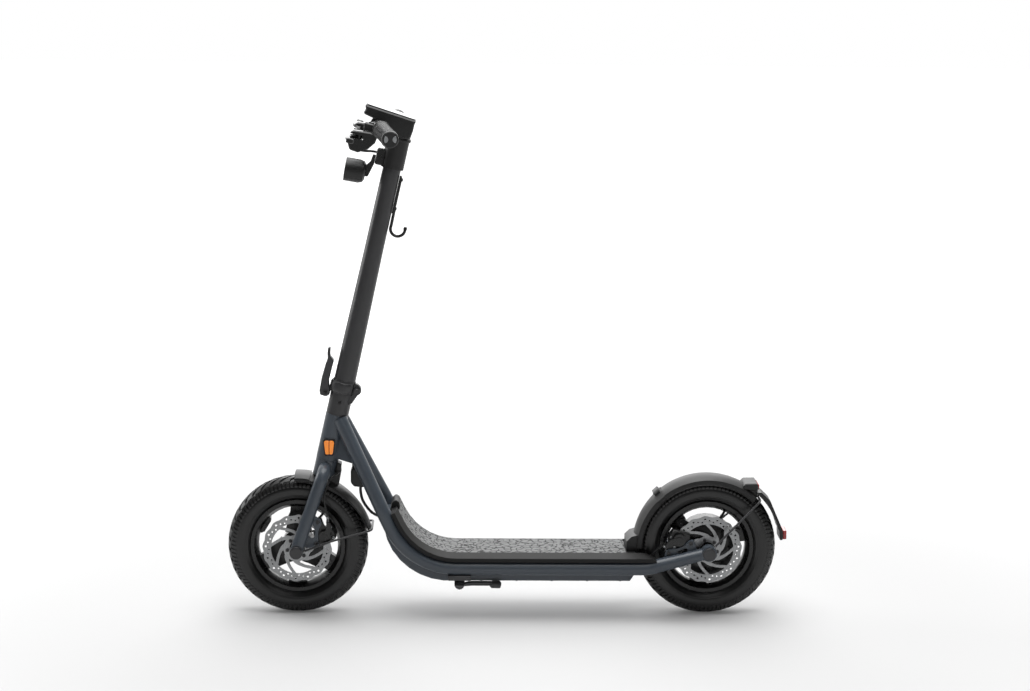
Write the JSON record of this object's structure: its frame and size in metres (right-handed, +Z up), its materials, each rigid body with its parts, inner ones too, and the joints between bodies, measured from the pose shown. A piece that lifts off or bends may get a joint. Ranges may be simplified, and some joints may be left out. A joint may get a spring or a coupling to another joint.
{
  "type": "electric scooter",
  "caption": "Standing electric kick scooter with a folding stem, bent deck, disc brakes, pneumatic tyres, mudguards, lamp, bag hook and kickstand.",
  "frame": {"origin": "on the ground, under the middle of the scooter's box of length and width", "axes": "+Z up; the rider faces -X, so the front wheel is at -X; the rider's left, with the brake discs and the kickstand, is -Y"},
  "size_m": [1.2688, 0.5382, 1.1582],
  "materials": {
    "frame_paint": "matte anthracite paint",
    "satin_black": "satin black coating",
    "black_plastic": "matte black",
    "grip_rubber": "matte",
    "tyre_rubber": "matte tread rubber",
    "brake_steel": "ground",
    "bright_steel": "satin",
    "deck_rubber": "matte grey, crackle pattern",
    "amber_lens": "gloss, reflex pattern inside",
    "red_lens": "gloss, reflex pattern inside",
    "clear_lens": "clear, gloss",
    "display_glass": "gloss black window",
    "cell_wrap": "blue shrink wrap"
  },
  "bodies": {
    "frame": {"head_tube": "frame_paint", "upper_headset_bearing": "bright_steel", "lower_headset_bearing": "bright_steel", "left_frame_tube": "frame_paint", "right_frame_tube": "frame_paint", "cable_box": "black_plastic", "battery_tray": "frame_paint", "battery_pack": "cell_wrap", "motor_controller": "bright_steel", "deck_board": "black_plastic", "deck_mat": "deck_rubber", "rear_axle": "satin_black", "rear_caliper": "satin_black", "rear_mudguard": "black_plastic", "mudguard_band": "black_plastic", "tail_light_housing": "black_plastic", "tail_light_lens": "red_lens", "rear_mudguard_stay": "satin_black", "rear_reflector": "red_lens", "kickstand_bracket": "satin_black", "left_side_reflector": "amber_lens", "right_side_reflector": "amber_lens", "rear_brake_hose": "grip_rubber"},
    "fork": {"fork_crown": "frame_paint", "left_fork_leg": "frame_paint", "right_fork_leg": "frame_paint", "front_axle": "satin_black", "front_caliper": "satin_black", "front_mudguard": "black_plastic", "front_mudguard_stay": "satin_black", "front_brake_hose": "grip_rubber", "fold_base": "satin_black", "fold_pin": "bright_steel"},
    "front_wheel": {"front_tyre": "tyre_rubber", "front_rim": "satin_black", "front_wheel_bearings": "bright_steel", "front_brake_disc": "brake_steel"},
    "rear_wheel": {"rear_tyre": "tyre_rubber", "rear_rim": "satin_black", "hub_motor": "satin_black", "rear_brake_disc": "brake_steel"},
    "stem": {"stem_tube": "satin_black", "fold_collar": "satin_black", "stem_head": "black_plastic", "display_glass": "display_glass", "handlebar": "satin_black", "left_grip": "grip_rubber", "right_grip": "grip_rubber", "headlight": "black_plastic", "headlight_lens": "clear_lens", "bag_hook": "satin_black", "left_lever_bracket": "black_plastic", "right_lever_bracket": "black_plastic", "bar_cables": "grip_rubber"},
    "fold_lever": {"fold_lever": "satin_black"},
    "left_brake_lever": {"left_brake_lever": "satin_black"},
    "right_brake_lever": {"right_brake_lever": "satin_black"},
    "throttle": {"throttle_lever": "black_plastic"},
    "mode_button": {"mode_button": "deck_rubber"},
    "kickstand": {"kickstand": "satin_black"}
  },
  "joints": [
    {"name": "steering", "type": "hinge", "parent": "frame", "child": "fork", "pos_m": [-0.4881, 0, 0], "axis": [0.2164, 0, 0.9763], "range_deg": [-45, 45]},
    {"name": "front_wheel_spin", "type": "hinge", "parent": "fork", "child": "front_wheel", "pos_m": [-0.4756, 0, 0.15876], "axis": [0, 1, 0], "continuous": true},
    {"name": "rear_wheel_spin", "type": "hinge", "parent": "frame", "child": "rear_wheel", "pos_m": [0.4519, 0, 0.15875], "axis": [0, 1, 0], "continuous": true},
    {"name": "stem_fold", "type": "hinge", "parent": "fork", "child": "stem", "pos_m": [-0.34249, 0, 0.51448], "axis": [0, 1, 0], "range_deg": [0, 95]},
    {"name": "fold_lever_turn", "type": "hinge", "parent": "stem", "child": "fold_lever", "pos_m": [-0.41211, 0, 0.51281], "axis": [0, -1, 0], "range_deg": [0, 65]},
    {"name": "left_brake", "type": "hinge", "parent": "stem", "child": "left_brake_lever", "pos_m": [-0.33181, -0.095, 1.09308], "axis": [0.2164, 0, 0.9763], "range_deg": [0, 18], "stiffness_Nm_per_rad": 0.6, "springref_deg": -8.59},
    {"name": "right_brake", "type": "hinge", "parent": "stem", "child": "right_brake_lever", "pos_m": [-0.33181, 0.095, 1.09308], "axis": [-0.2164, 0, -0.9763], "range_deg": [0, 18], "stiffness_Nm_per_rad": 0.6, "springref_deg": -8.59},
    {"name": "throttle_turn", "type": "hinge", "parent": "stem", "child": "throttle", "pos_m": [-0.29018, 0.062, 1.11049], "axis": [0.1571, 0.987, -0.0348], "range_deg": [0, 35], "stiffness_Nm_per_rad": 0.02, "springref_deg": -20.05},
    {"name": "mode_button_press", "type": "slide", "parent": "stem", "child": "mode_button", "axis": [-0.2164, 0, -0.9763], "range_m": [0, 0.0014], "stiffness_N_per_m": 40, "springref_m": -0.002},
    {"name": "kickstand_turn", "type": "hinge", "parent": "frame", "child": "kickstand", "pos_m": [-0.1093, -0.058, 0.0789], "axis": [0, 0.766, -0.6428], "range_deg": [0, 90]}
  ]
}
